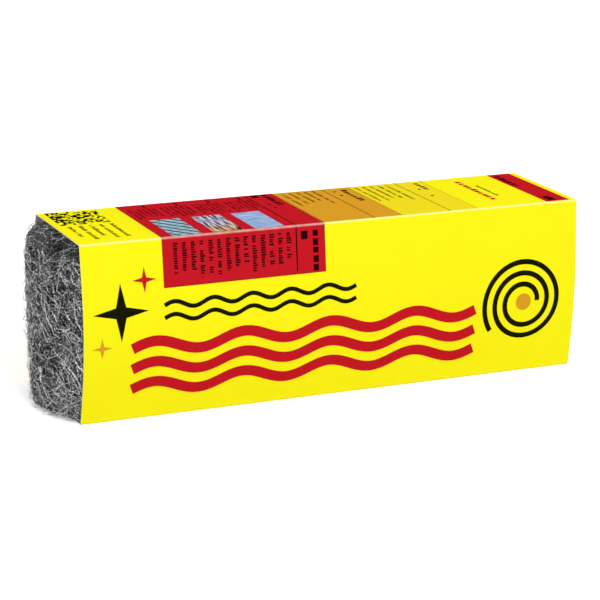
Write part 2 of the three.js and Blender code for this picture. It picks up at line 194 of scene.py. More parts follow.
def add_piece(name, points, faces, materials, uvs=None, slots=None, sharp=35):
    """A smooth-shaded mesh from points in millimetres. uvs holds one list per face."""
    mesh = bpy.data.meshes.new(name)
    places = [((x + MIDDLE_X) * MM, y * MM, z * MM) for x, y, z in points]
    mesh.from_pydata(places, [], faces)
    for material in materials:
        mesh.materials.append(material)
    if slots:
        mesh.polygons.foreach_set("material_index", slots)
    if uvs:
        layer = mesh.uv_layers.new(name="card")
        layer.data.foreach_set("uv", [value for face in uvs for uv in face for value in uv])
    mesh.shade_smooth()
    mesh.set_sharp_from_angle(angle=math.radians(sharp))
    mesh.validate()
    return add_object(name, mesh)


def even_steps(start, end, longest):
    count = max(1, math.ceil((end - start) / longest))
    return [start + (end - start) * step / count for step in range(count + 1)]


def swell_at(x, z):
    """Outward bow of the tall panels, which runs out to nothing at the folds."""
    swell = SWELL_LEFT + (SWELL_RIGHT - SWELL_LEFT) * (x / LENGTH + 0.5)
    down = (HEIGHT - CREASE - z) / (HEIGHT - 2 * CREASE)
    return swell * math.sin(math.pi * min(max(down, 0), 1) ** SWELL_SKEW)


def crease_points(centre_y, centre_z, radius, start, along):
    """One fold as [y, z, s] points, turning clockwise. s is the distance round the card."""
    points = []
    for step in range(CREASE_STEPS + 1):
        share = step / CREASE_STEPS
        angle = start - share * math.pi / 2
        place = along + share * 2 * HALF_CREASE
        y = centre_y + radius * math.cos(angle)
        points.append((y, centre_z + radius * math.sin(angle), place))
    return points


def sleeve_section(x, inset, step_height):
    """The sleeve's section at x as [y, z, s], from low on the front over the top and round.

    s runs round the card from the middle of the fold between the front and the top.
    """
    side = DEPTH / 2 - CREASE
    high = HEIGHT - CREASE
    radius = CREASE - inset
    levels = [CREASE + (high - CREASE) * step / PANEL_STEPS for step in range(1, PANEL_STEPS)]
    top_end = HALF_CREASE + TOP_FLAT
    back_start = top_end + 2 * HALF_CREASE
    under_start = back_start + high - CREASE

    def back(z, lap):
        return (DEPTH / 2 + swell_at(x, z) - inset - lap, z, back_start + high - z)

    points = [
        (-(DEPTH / 2 + swell_at(x, z) - inset), z, z - high - HALF_CREASE) for z in levels
    ]
    points += crease_points(-side, high, radius, math.pi, -HALF_CREASE)
    points += crease_points(side, high, radius, math.pi / 2, top_end)
    levels.reverse()
    points += [back(z, 0) for z in levels if z > step_height + CARD]
    points += [back(step_height, 0), back(step_height, CARD)]
    points += [back(z, CARD) for z in levels if z < step_height - CARD]
    points += crease_points(side - CARD, CREASE, radius, 0, under_start)
    far = under_start + 2 * HALF_CREASE + TOP_FLAT
    points += crease_points(-side, CREASE, radius, -math.pi / 2, far)
    return points


def tube_wall(base, stations, count, sections, flip):
    """Faces and their uvs between neighbouring stations of a closed loop of points."""
    faces = []
    uvs = []
    for station in range(stations):
        for step in range(count):
            following = (step + 1) % count
            a = base + station * count + step
            b = base + station * count + following
            corners = [a, a + count, b + count, b]
            left, right = sections[station], sections[station + 1]
            s = left[step][3]
            t = left[following][3] if following else s + 1
            marks = [(left[step][0], s), (right[step][0], s), (right[step][0], t), (left[step][0], t)]
            if flip:
                corners.reverse()
                marks.reverse()
            faces.append(corners)
            uvs.append(marks)
    return faces, uvs


def make_sleeve(printed, board, edge):
    outer = []
    inner = []
    for x in even_steps(-LENGTH / 2, LENGTH / 2, LENGTH / ALONG_STEPS):
        outer.append([(x, *point) for point in sleeve_section(x, 0, SEAM_HEIGHT)])
        inner.append([(x, *point) for point in sleeve_section(x, CARD, FLAP_HEIGHT)])
    outer_count = len(outer[0])
    inner_count = len(inner[0])
    base = len(outer) * outer_count
    faces, uvs = tube_wall(0, ALONG_STEPS, outer_count, outer, False)
    inner_faces, inner_uvs = tube_wall(base, ALONG_STEPS, inner_count, inner, True)
    slots = [0] * len(faces) + [1] * len(inner_faces)
    faces += inner_faces
    uvs += inner_uvs
    points = [point[:3] for section in outer + inner for point in section]
    for station in (0, ALONG_STEPS):
        ring = ring_faces(outer[station], inner[station])
        for corners in ring:
            placed = [
                station * outer_count + index if index < outer_count
                else base + station * inner_count + index - outer_count
                for index in corners
            ]
            if station == 0:
                placed.reverse()
            faces.append(placed)
            uvs.append([(points[index][1], points[index][2]) for index in placed])
            slots.append(2)
    return add_piece("sleeve", points, faces, (printed, board, edge), uvs, slots)


def ring_faces(outer, inner):
    """Triangles of the card's cut edge, wound anticlockwise as seen from the right."""
    outline = [Vector((y, z, 0)) for _, y, z, _ in outer]
    hole = [Vector((y, z, 0)) for _, y, z, _ in inner]
    flat = outline + hole
    faces = []
    for a, b, c in tessellate_polygon((outline, hole)):
        turn = (flat[b] - flat[a]).cross(flat[c] - flat[a]).z
        faces.append([a, b, c] if turn > 0 else [a, c, b])
    return faces


def down_front(z):
    """The print's place s for a height z on the front panel."""
    return z - (HEIGHT - CREASE) - HALF_CREASE


def top(y):
    """The print's place s for a depth y on the top panel."""
    return y + DEPTH / 2 - CREASE + HALF_CREASE


def on_card(x, s, lift):
    """The point that lies lift above the print's place [x, s]."""
    side = DEPTH / 2 - CREASE
    high = HEIGHT - CREASE
    radius = CREASE + lift
    if s < -HALF_CREASE:
        z = high + s + HALF_CREASE
        return (x, -(DEPTH / 2 + swell_at(x, z) + lift), z)
    if s < HALF_CREASE:
        turn = math.pi / 4 + s / CREASE
        return (x, -side - radius * math.cos(turn), high + radius * math.sin(turn))
    past = s - HALF_CREASE - TOP_FLAT
    if past <= 0:
        return (x, side + past, HEIGHT + lift)
    turn = past / CREASE
    return (x, side + radius * math.sin(turn), high + radius * math.cos(turn))


def add_film(name, places, faces, material, level=0):
    """A closed film of ink over flat faces of [x, s] places, for the CAD film of its name."""
    lift = INK_GAP + level * (INK + INK_GAP)
    count = len(places)
    points = [on_card(x, s, lift) for x, s in places]
    points += [on_card(x, s, lift + INK) for x, s in places]
    sides = set()
    closed = []
    for face in faces:
        closed.append([index + count for index in face])
        closed.append(list(reversed(face)))
        sides.update(zip(face, face[1:] + face[:1]))
    for start, end in sorted(sides):
        if (end, start) not in sides:
            closed.append([start, end, end + count, start + count])
    uvs = [[places[index % count] for index in face] for face in closed]
    piece = add_piece(name, points, closed, (material,), uvs)
    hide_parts("print_" + name)
    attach(piece, "root")


def grid_faces(columns, rows):
    faces = []
    for column in range(columns):
        for row in range(rows):
            a = column * (rows + 1) + row
            b = a + rows + 1
            faces.append([a, b, b + 1, a + 1])
    return faces


def add_field(name, left, right, levels, material, level=0):
    across = even_steps(left, right, LENGTH / ALONG_STEPS)
    places = [(x, s) for x in across for s in levels]
    faces = grid_faces(len(across) - 1, len(levels) - 1)
    add_film(name, places, faces, material, level)


def add_strand(name, centre_line, width, steps, material):
    """A strand of constant width along centre_line, which gives x, z and the slope's angle."""
    places = []
    rows = max(1, round(width / INK_STEP))
    for step in range(steps + 1):
        x, z, angle = centre_line(step / steps)
        for row in range(rows + 1):
            offset = width * (row / rows - 0.5)
            height = z + offset * math.cos(angle)
            places.append((x - offset * math.sin(angle), down_front(height)))
    add_film(name, places, grid_faces(steps, rows), material)


def add_spot(name, x, z, outline, material):
    """A spot about [x, z] on the front, as rings of scaled copies of its outline."""
    places = [(x, down_front(z))]
    faces = []
    count = len(outline)
    rings = math.ceil(math.hypot(*outline[0]) / INK_STEP)
    for ring in range(1, rings + 1):
        for index, (dx, dz) in enumerate(outline):
            places.append((x + dx * ring / rings, down_front(z + dz * ring / rings)))
            a = 1 + (ring - 1) * count + index
            b = 1 + (ring - 1) * count + (index + 1) % count
            faces.append([0, a, b] if ring == 1 else [a - count, a, b, b - count])
    add_film(name, places, faces, material)


def wave_line(left, right, middle, height, count):
    """A wavy line that keeps its height, for add_strand."""
    def place(share):
        phase = 2 * math.pi * count * share
        slope = 2 * math.pi * count / (right - left) * height * math.cos(phase)
        return left + (right - left) * share, middle + height * math.sin(phase), math.atan(slope)
    return place


def coil_line(share):
    """A loose coil that opens out anticlockwise, for add_strand."""
    angle = 2 * math.pi * COIL_TURNS * share
    radius = COIL_INNER + (COIL_OUTER - COIL_INNER) * share
    x = COIL_X + radius * math.cos(angle)
    return x, COIL_Z + radius * math.sin(angle), angle + math.pi / 2


def sparkle_outline(reach):
    """A star with hollow sides, starting at its right-hand point."""
    corners = []
    for index in range(2 * SPARKLE_POINTS):
        angle = math.pi * index / SPARKLE_POINTS
        radius = reach * (SPARKLE_WAIST if index % 2 else 1)
        corners.append((radius * math.cos(angle), radius * math.sin(angle)))
    outline = []
    for (x, z), (next_x, next_z) in zip(corners, corners[1:] + corners[:1]):
        steps = math.ceil(math.hypot(next_x - x, next_z - z) / INK_STEP)
        for step in range(steps):
            share = step / steps
            outline.append((x + (next_x - x) * share, z + (next_z - z) * share))
    return outline


# Print on the card

def make_print(inks):
    top_end = HALF_CREASE + TOP_FLAT
    red_levels = even_steps(down_front(HEIGHT - RED_DROP), -HALF_CREASE, INK_STEP)
    red_levels += even_steps(-HALF_CREASE, HALF_CREASE, 2 * HALF_CREASE / CREASE_STEPS)[1:]
    red_levels += even_steps(top_end, top_end + HALF_CREASE, 2 * HALF_CREASE / CREASE_STEPS)
    top_levels = [HALF_CREASE, top(DEPTH / 2 - FIELD_BACK_MARGIN)]
    amber_left = FIELD_LEFT + 2 * FIELD_UNIT
    pale_left = amber_left + FIELD_UNIT
    fields = (
        ("red_field", "red", FIELD_LEFT, amber_left - FIELD_GAP, red_levels),
        ("amber_field", "amber", amber_left, pale_left - FIELD_GAP, top_levels),
        ("pale_field", "pale", pale_left, pale_left + FIELD_UNIT, top_levels),
        ("red_band", "red", BAND_LEFT, BAND_LEFT + BAND_WIDTH, top_levels),
    )
    for name, ink, left, right, levels in fields:
        add_field(name, left, right, levels, inks[name])
    pitch = FIELD_UNIT / 2
    for index in range(PICTURE_COUNT):
        left = FIELD_LEFT + PICTURE_GAP + index * pitch
        levels = [HALF_CREASE, HALF_CREASE + PICTURE_LENGTH]
        name = f"picture_{index + 1}"
        add_field(name, left, left + pitch - PICTURE_GAP, levels, inks[name], 1)
    near = top(DEPTH / 2 - LATTICE_BACK_MARGIN - LATTICE_SIZE)
    lattice_levels = [near, near + LATTICE_SIZE]
    right = LATTICE_LEFT + LATTICE_SIZE
    add_field("lattice", LATTICE_LEFT, right, lattice_levels, inks["blocks"])
    for kind, (ink, rows, left, right, height, count, width) in WAVES.items():
        for index, row in enumerate(rows):
            line = wave_line(left, right, FRONT_MARGIN + row * ROW_PITCH, height, count)
            add_strand(f"{kind}_{index + 1}", line, width, WAVE_STEPS, inks[ink])
    add_strand("coil", coil_line, COIL_LINE, COIL_STEPS, inks["black"])
    turns = [math.tau * step / COIL_CORNERS for step in range(COIL_CORNERS)]
    circle = [(COIL_CORE * math.cos(turn), COIL_CORE * math.sin(turn)) for turn in turns]
    add_spot("coil_core", COIL_X, COIL_Z, circle, inks["amber"])
    for index, (ink, x, z, reach) in enumerate(SPARKLES):
        add_spot(f"sparkle_{index + 1}", x, z, sparkle_outline(reach), inks[ink])


# Steel wool

def lump_at(point, height, pitch, seed):
    return height * noise.noise(Vector(point) / pitch + Vector((seed, 0, 0)))


def tuft_at(x, y, z):
    """Lumps that stand out of the wool's ends and fade away towards the mouth."""
    past = min(max((abs(x) - LENGTH / 2) / TUFT_FADE, 0), 1)
    sway = math.sin(math.pi * y / TUFT_PITCH)
    row = math.sin(math.tau * z / TUFT_PITCH + TUFT_SWAY * sway)
    return TUFT_DEPTH * past * row * math.cos(math.pi * y / TUFT_PITCH)


def wool_outline(z, inset, nose_steps, side_steps):
    """The pad's outline at height z, anticlockwise as seen from above, as two noses."""
    def front(x):
        return -(DEPTH / 2 + swell_at(x, z) - CARD - CLEARANCE - inset)

    def back(x):
        return DEPTH / 2 + swell_at(x, z) - 2 * CARD - CLEARANCE - inset

    left_protrusion = PROTRUSION_BOTTOM + (PROTRUSION_TOP - PROTRUSION_BOTTOM) * z / HEIGHT
    nose_x = LENGTH / 2 - NOSE_START
    noses = []
    sides = []
    for end, protrusion in ((1, PROTRUSION_RIGHT), (-1, left_protrusion)):
        reach = max(protrusion + NOSE_START - inset, 0)
        middle = (front(end * nose_x) + back(end * nose_x)) / 2
        half = (back(end * nose_x) - front(end * nose_x)) / 2
        nose = []
        for step in range(nose_steps + 1):
            angle = math.pi * (step / nose_steps - 0.5)
            out = abs(math.cos(angle)) ** (2 / SQUARENESS)
            across = math.copysign(abs(math.sin(angle)) ** (2 / SQUARENESS), angle)
            x = end * (nose_x + reach * out)
            y = middle + end * half * across
            nose.append((x + end * tuft_at(x, y, z), y, z))
        noses.append(nose)
        side = []
        for step in range(1, side_steps):
            x = end * nose_x * (1 - 2 * step / side_steps)
            side.append((x, back(x) if end > 0 else front(x), z))
        sides.append(side)
    return noses, sides


def wool_levels(inset, longest):
    """Heights and insets of the pad's outlines, round over the bottom and the top edge."""
    low = CARD + CLEARANCE + inset
    high = HEIGHT - CARD - CLEARANCE - inset
    levels = []
    for step in range(BOTTOM_STEPS + 1):
        angle = math.pi / 2 * step / BOTTOM_STEPS
        rise = BOTTOM_EDGE * (1 - math.cos(angle))
        levels.append((low + rise, inset + BOTTOM_EDGE * (1 - math.sin(angle))))
    for z in even_steps(low + BOTTOM_EDGE, high - TOP_EDGE, longest)[1:-1]:
        levels.append((z, inset))
    for step in range(TOP_STEPS + 1):
        angle = math.pi / 2 * step / TOP_STEPS
        rise = TOP_EDGE * math.sin(angle)
        levels.append((high - TOP_EDGE + rise, inset + TOP_EDGE * (1 - math.cos(angle))))
    return levels


def make_core(material):
    """The dense wool under the loose fibres, one closed lumpy block."""
    rings = []
    for z, inset in wool_levels(CORE_INSET, longest=1):
        noses, sides = wool_outline(z, inset, *CORE_STEPS)
        rings.append(noses[0] + sides[0] + noses[1] + sides[1])
    count = len(rings[0])
    points = [point for ring in rings for point in ring]
    faces = []
    for level in range(len(rings) - 1):
        for step in range(count):
            following = (step + 1) % count
            a = level * count + step
            b = level * count + following
            faces.append([a, b, b + count, a + count])
    bottom = len(points)
    points += [(0, 0, rings[0][0][2]), (0, 0, rings[-1][0][2])]
    last = (len(rings) - 1) * count
    for step in range(count):
        following = (step + 1) % count
        faces.append([bottom, following, step])
        faces.append([bottom + 1, last + step, last + following])
    core = add_piece("wool", points, faces, (material,), sharp=180)
    mesh = core.data
    moves = []
    for vertex in mesh.vertices:
        place = vertex.co / MM
        rise = min(lump_at(place, *LUMPS) + lump_at(place, *WISPS), CORE_LIMIT)
        moves.append(vertex.normal * rise)
    for vertex, move in zip(mesh.vertices, moves):
        vertex.co += move * MM
    mesh.update()
    return core


def make_guide(end):
    """The surface that the loose fibres of one end lie on, from inside the mouth outwards."""
    side_steps = round(2 * (LENGTH - 2 * NOSE_START) / GUIDE_DEPTH)
    rounds = wool_levels(0, longest=2)
    under = [(rounds[0][0], BOTTOM_EDGE + fold) for fold in GUIDE_UNDER]
    over = [(rounds[-1][0], TOP_EDGE + fold) for fold in GUIDE_OVER]
    rows = []
    for z, inset in under + rounds + over:
        noses, sides = wool_outline(z, inset, GUIDE_STEPS, side_steps)
        if end > 0:
            rows.append(sides[1][-2:] + noses[0] + sides[0][:2])
        else:
            rows.append(sides[0][-2:] + noses[1] + sides[1][:2])
    points = [point for row in rows for point in row]
    count = len(rows[0])
    faces = []
    for level in range(len(rows) - 1):
        for step in range(count - 1):
            a = level * count + step
            faces.append([a, a + 1, a + 1 + count, a + count])
    return add_piece("guide", points, faces, (), sharp=180)


# Loose fibres, grown over a guide surface

def add_node(tree, kind, inputs=None, **settings):
    """A node with its inputs, given by name or number, and its settings.

    A shader node's kind is given without ShaderNode in front. An input is a value, a socket,
    or another node, whose first output is then used.
    """
    node = tree.nodes.new(kind if "Node" in kind else "ShaderNode" + kind)
    for key, value in settings.items():
        setattr(node, key, value)
    for key, value in (inputs or {}).items():
        if isinstance(value, bpy.types.Node):
            value = value.outputs[0]
        if isinstance(value, bpy.types.NodeSocket):
            tree.links.new(value, node.inputs[key])
        else:
            node.inputs[key].default_value = value
    return node


def calc(tree, operation, *values):
    """The result of a Math node."""
    inputs = dict(enumerate(values))
    return add_node(tree, "Math", inputs, operation=operation).outputs[0]


def times(tree, first, second):
    return calc(tree, "MULTIPLY", first, second)


def minus(tree, first, second):
    return calc(tree, "SUBTRACT", first, second)


def map_range(tree, value, low, high, start, end):
    inputs = {"Value": value, "From Min": low, "From Max": high, "To Min": start, "To Max": end}
    return add_node(tree, "MapRange", inputs).outputs[0]


def split(tree, vector):
    """The three parts of a vector."""
    return add_node(tree, "SeparateXYZ", {0: vector}).outputs


def vector_calc(tree, operation, *values):
    inputs = dict(enumerate(values))
    node = add_node(tree, "VectorMath", inputs, operation=operation)
    return node.outputs["Value" if operation == "LENGTH" else "Vector"]


def scaled(tree, vector, factor):
    inputs = {0: vector, "Scale": factor}
    return add_node(tree, "VectorMath", inputs, operation="SCALE").outputs["Vector"]


def random_float(tree, low, high, seed, identity=None):
    inputs = {2: low, 3: high, "Seed": seed}
    if identity is not None:
        inputs["ID"] = identity
    return add_node(tree, "FunctionNodeRandomValue", inputs, data_type="FLOAT").outputs[1]


# The kinds of fibre, from the deepest to the loosest. Density is in fibres a square metre, sizes
# are in millimetres, and Low and High are heights over the guide.
# Darkest and Brightest bound each fibre's random brightness, painted highlights for the light that each
# fibre catches.
FIBRE_KEYS = (
    "Density", "Length", "Radius", "Points", "Spread", "Bend", "Curl", "Curl Size", "Low", "High",
    "Loop", "Darkest", "Brightest", "Seed",
)
FIBRE_SIZES = ("Length", "Radius", "Curl", "Curl Size", "Low", "High", "Loop")
FIBRE_COUNTS = ("Points", "Seed")
FIBRES = {
    "mat": (1.9e6, 2.4, 0.085, 3, 1.57, 0.5, 0.2, 2.0, -2.6, -1.5, 0.2, 0.0, 0.52, 3),
    "fleece": (1.9e6, 2.4, 0.085, 3, 1.57, 0.5, 0.2, 2.0, -2.1, -1.1, 0.2, 0.0, 0.7, 5),
    "fuzz": (1.2e6, 3.2, 0.11, 4, 1.57, 0.5, 0.2, 2.0, -1.8, -0.8, 0.2, 0.0, 0.95, 11),
    "wisps": (0.15e6, 10.0, 0.11, 9, 1.2, 0.45, 0.35, 5.0, -1.4, -0.6, 0.6, 0.3, 1.35, 7),
    "strands": (0.012e6, 13.0, 0.1, 12, 1.3, 0.45, 0.5, 6.0, -0.9, -0.5, 0.4, 1.4, 2.0, 13),
    "strays": (0.07e6, 7.0, 0.05, 10, 1.6, 1.2, 1.0, 2.5, -1.0, 0.0, 2.2, 0.0, 0.8, 9),
}
RIGHT_SHARE = 0.45  # the flatter right end needs fewer fibres
RIGHT_SEED = 100
LENGTH_SPREAD = (0.55, 1.45)
THICKNESS_SPREAD = (0.6, 1.3)
MOUTH_FADE = 3  # the fibres reach their full height this far out of the mouth
INSIDE_RISE = 0.9  # inside it they lie this much higher
INSIDE_LIMIT = 0.1  # but no higher than this over the guide
LOW_SHADE = 0.55  # painted shade between the fibres: the lowest fibres of a kind, against 1 for the highest
TOP_SHADE = (62, 71, 0.65)  # painted shadow under the card's top edge: fibres darken between these heights, down to this share


def make_fibre_tree():
    """Bent and curled fibres that lie over a surface, mostly level, each a thin closed tube."""
    tree = bpy.data.node_groups.new("loose_fibres", "GeometryNodeTree")
    tree.is_modifier = True
    kinds = {"Geometry": "Geometry", "Material": "Material", **dict.fromkeys(FIBRE_KEYS, "Float")}
    kinds.update(dict.fromkeys(FIBRE_COUNTS, "Int"))
    for name, kind in kinds.items():
        tree.interface.new_socket(name, in_out="INPUT", socket_type="NodeSocket" + kind)
    tree.interface.new_socket("Geometry", in_out="OUTPUT", socket_type="NodeSocketGeometry")
    given = tree.nodes.new("NodeGroupInput").outputs
    surface = given["Geometry"]
    seed = given["Seed"]

    def draw(low, high, number, identity=None):
        return random_float(tree, low, high, calc(tree, "ADD", seed, number), identity)

    scatter = add_node(tree, "GeometryNodeDistributePointsOnFaces", {
        "Mesh": surface, "Density": given["Density"], "Seed": seed,
    })
    normal = scatter.outputs["Normal"]
    level = vector_calc(tree, "NORMALIZE", vector_calc(tree, "CROSS_PRODUCT", normal, (0, 0, 1)))
    lean = times(tree, draw(-1, 1, 11), given["Spread"])
    turn_inputs = {"Vector": level, "Axis": normal, "Angle": lean}
    direction = add_node(tree, "VectorRotate", turn_inputs)
    upright = add_node(tree, "FunctionNodeAlignRotationToVector", {"Vector": normal}, axis="Z")
    facing = add_node(
        tree, "FunctionNodeAlignRotationToVector", {"Rotation": upright, "Vector": direction},
        axis="X", pivot_axis="Z",
    )

    line_inputs = {"Start": (-0.5, 0, 0), "End": (0.5, 0, 0)}
    line = add_node(tree, "GeometryNodeCurvePrimitiveLine", line_inputs)
    stretch_inputs = {"Curve": line, "Count": given["Points"]}
    stretch = add_node(tree, "GeometryNodeResampleCurve", stretch_inputs)
    along = add_node(tree, "GeometryNodeSplineParameter").outputs["Factor"]
    off_centre = minus(tree, along, 0.5)
    bow = times(tree, times(tree, off_centre, off_centre), 2)
    bow_vector = add_node(tree, "CombineXYZ", {"Y": bow})
    arc_inputs = {"Geometry": stretch, "Offset": bow_vector}
    arc = add_node(tree, "GeometryNodeSetPosition", arc_inputs)
    size = times(tree, draw(*LENGTH_SPREAD, 21), given["Length"])
    bend = times(tree, times(tree, draw(-1, 1, 22), given["Bend"]), size)
    scale = add_node(tree, "CombineXYZ", {"X": size, "Y": bend, "Z": size})
    placed = add_node(tree, "GeometryNodeInstanceOnPoints", {
        "Points": scatter, "Instance": arc, "Rotation": facing, "Scale": scale,
    })
    loose = add_node(tree, "GeometryNodeRealizeInstances", {0: placed})

    index = add_node(tree, "GeometryNodeInputIndex")
    own = add_node(
        tree, "GeometryNodeFieldOnDomain", {"Value": index}, domain="CURVE", data_type="INT"
    )
    place = add_node(tree, "GeometryNodeInputPosition")
    away = add_node(tree, "CombineXYZ", {
        "X": draw(0, 90, 31, own), "Y": draw(0, 90, 32, own),
    })
    grain = vector_calc(tree, "ADD", vector_calc(tree, "DIVIDE", place, given["Curl Size"]), away)
    wander = add_node(tree, "TexNoise", {"Vector": grain, "Scale": 1.0, "Detail": 1.0})
    drift = vector_calc(tree, "SUBTRACT", wander.outputs["Color"], (0.5, 0.5, 0.5))
    curl = scaled(tree, drift, times(tree, given["Curl"], 4))
    curled = add_node(tree, "GeometryNodeSetPosition", {"Geometry": loose, "Offset": curl})

    nearest = add_node(tree, "GeometryNodeProximity", {0: surface}, target_element="FACES")
    near = nearest.outputs["Position"]
    outwards = add_node(tree, "GeometryNodeSampleNearestSurface", {
        "Mesh": surface, "Value": add_node(tree, "GeometryNodeInputNormal"),
    }, data_type="FLOAT_VECTOR")
    share = draw(0, 1, 41, own)
    range_height = minus(tree, given["High"], given["Low"])
    height = calc(tree, "MULTIPLY_ADD", share, range_height, given["Low"])
    lift_grain = minus(tree, wander.outputs["Fac"], 0.5)
    height = calc(tree, "MULTIPLY_ADD", lift_grain, times(tree, range_height, 1.4), height)
    arch = calc(tree, "SINE", times(tree, along, math.pi))
    loop = times(tree, draw(0, 1, 42, own), given["Loop"])
    height = calc(tree, "MULTIPLY_ADD", arch, loop, height)
    parts = split(tree, near)
    from_middle = calc(tree, "ABSOLUTE", minus(tree, parts[0], MIDDLE_X * MM))
    past = minus(tree, from_middle, LENGTH / 2 * MM)
    outside = map_range(tree, past, 0.0, MOUTH_FADE * MM, 0.0, 1.0)
    raised = calc(tree, "ADD", height, INSIDE_RISE * MM)
    inside = calc(tree, "MINIMUM", raised, INSIDE_LIMIT * MM)
    height = calc(tree, "MULTIPLY_ADD", minus(tree, height, inside), outside, inside)
    settled_place = vector_calc(tree, "ADD", near, scaled(tree, outwards, height))
    above_floor = vector_calc(tree, "MAXIMUM", settled_place, (-1, -1, FLOOR_GAP * MM))
    settled_inputs = {"Geometry": curled, "Position": above_floor}
    settled = add_node(tree, "GeometryNodeSetPosition", settled_inputs)

    # Each fibre's shade is painted light: a random brightness as painted highlights, darker for lower
    # fibres as painted shade between them, and darker near the card's top edge as painted shadow under
    # it.
    shade = draw(given["Darkest"], given["Brightest"], 51, own)
    shade = times(tree, shade, calc(tree, "MULTIPLY_ADD", share, 1 - LOW_SHADE, LOW_SHADE))
    low, high, shadowed = TOP_SHADE
    shade = times(tree, shade, map_range(tree, parts[2], low * MM, high * MM, 1.0, shadowed))
    marked = add_node(tree, "GeometryNodeStoreNamedAttribute", {
        "Geometry": settled, "Name": "shade", "Value": shade,
    }, data_type="FLOAT", domain="POINT")
    thickness = times(tree, draw(*THICKNESS_SPREAD, 52, own), given["Radius"])
    profile = add_node(tree, "GeometryNodeCurvePrimitiveCircle", {"Resolution": 3, "Radius": 1.0})
    tubes = add_node(tree, "GeometryNodeCurveToMesh", {
        "Curve": marked, "Profile Curve": profile, "Scale": thickness, "Fill Caps": True,
    })
    smooth = add_node(tree, "GeometryNodeSetShadeSmooth", {0: tubes})
    real = add_node(tree, "GeometryNodeRealizeInstances", {0: smooth})
    painted_inputs = {0: real, "Material": given["Material"]}
    painted = add_node(tree, "GeometryNodeSetMaterial", painted_inputs)
    add_node(tree, "NodeGroupOutput", {0: painted})
    return tree


def grow_fibres(name, tree, guide, sizes, material):
    """Runs the fibre tree over guide and keeps its result as a plain piece."""
    keys = {item.name: item.identifier for item in tree.interface.items_tree if item.in_out == "INPUT"}
    grower = add_object(name + "_grower", guide.data)
    modifier = grower.modifiers.new("fibres", "NODES")
    modifier.node_group = tree
    for key, value in sizes.items():
        modifier[keys[key]] = value
    modifier[keys["Material"]] = material
    seen = grower.evaluated_get(bpy.context.evaluated_depsgraph_get())
    mesh = bpy.data.meshes.new_from_object(seen)
    bpy.data.objects.remove(grower)
    mesh.name = name
    piece = add_object(name, mesh)
    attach(piece, "root")


# Materials

def make_group(name, inputs, outputs):
    """An empty shader node group and its inputs, given as first values or None for a vector."""
    tree = bpy.data.node_groups.new(name, "ShaderNodeTree")
    for key, value in inputs.items():
        kind = {float: "Float", tuple: "Color"}.get(type(value), "Vector")
        socket = tree.interface.new_socket(key, in_out="INPUT", socket_type="NodeSocket" + kind)
        if value is not None:
            socket.default_value = value
    for key in outputs:
        kind = "Color" if key == "Color" else "Float"
        tree.interface.new_socket(key, in_out="OUTPUT", socket_type="NodeSocket" + kind)
    return tree, tree.nodes.new("NodeGroupInput").outputs


def mix_colours(tree, factor, low, high):
    inputs = {0: factor, 6: low, 7: high}
    return add_node(tree, "Mix", inputs, data_type="RGBA").outputs[2]


def noise_at(tree, place, size, detail=2.0):
    """Smooth noise about 0.5, with blotches about size wide in place's own unit."""
    if isinstance(size, (int, float)):
        grain = scaled(tree, place, 1 / size)
    else:
        grain = vector_calc(tree, "DIVIDE", place, size)
    inputs = {"Vector": grain, "Scale": 1.0, "Detail": detail}
    return add_node(tree, "TexNoise", inputs).outputs["Fac"]


def shaded(tree, colour, noise_value, strength):
    """The colour, made darker and lighter by up to half of strength where the noise says."""
    factor = calc(tree, "MULTIPLY_ADD", noise_value, strength, 1 - strength / 2)
    return scaled(tree, colour[:3] if isinstance(colour, tuple) else colour, factor)


def make_print_group():
    """Ink on varnished card: marks over the ink, pale folds that are partly wear and partly a painted
    highlight, and the card's own grain.
    """
    tree, given = make_group("varnished_print", {
        "Place": None, "Ink": YELLOW, "Mark Ink": BLACK, "Marks": 0.0, "Fold Width": 0.55,
        "Fold Highlight And Wear": 0.4,
    }, ("Color", "Roughness", "Height"))
    place = given["Place"]
    printed = mix_colours(tree, given["Marks"], given["Ink"], given["Mark Ink"])
    blotch = noise_at(tree, place, 14, 3.0)
    grain = noise_at(tree, place, 0.5, 2.0)
    printed = shaded(tree, printed, blotch, 0.05)
    printed = shaded(tree, printed, grain, 0.05)
    # The pale line along the two top folds is partly worn coating and partly a painted highlight on the
    # bent edge, mixed towards near-white.
    s = split(tree, place)[1]
    middle = HALF_CREASE + TOP_FLAT / 2
    from_middle = calc(tree, "ABSOLUTE", minus(tree, s, middle))
    from_fold = calc(tree, "ABSOLUTE", minus(tree, from_middle, middle))
    near_fold = map_range(tree, calc(tree, "DIVIDE", from_fold, given["Fold Width"]), 0.4, 1.3, 1.0, 0.0)
    fold_patchiness = map_range(tree, noise_at(tree, place, 3.0, 3.0), 0.3, 0.7, 0.6, 1.1)
    fold_highlight_and_wear = times(tree, times(tree, near_fold, fold_patchiness), given["Fold Highlight And Wear"])
    highlit_and_worn = mix_colours(tree, fold_highlight_and_wear, printed, srgb(255, 253, 240))
    rough = map_range(tree, blotch, 0.3, 0.7, 0.3, 0.42)
    rough = calc(tree, "MULTIPLY_ADD", fold_highlight_and_wear, 0.3, rough)
    height = calc(tree, "MULTIPLY_ADD", blotch, 0.6, times(tree, grain, 0.08))
    add_node(tree, "NodeGroupOutput", {0: highlit_and_worn, 1: rough, 2: height})
    return tree


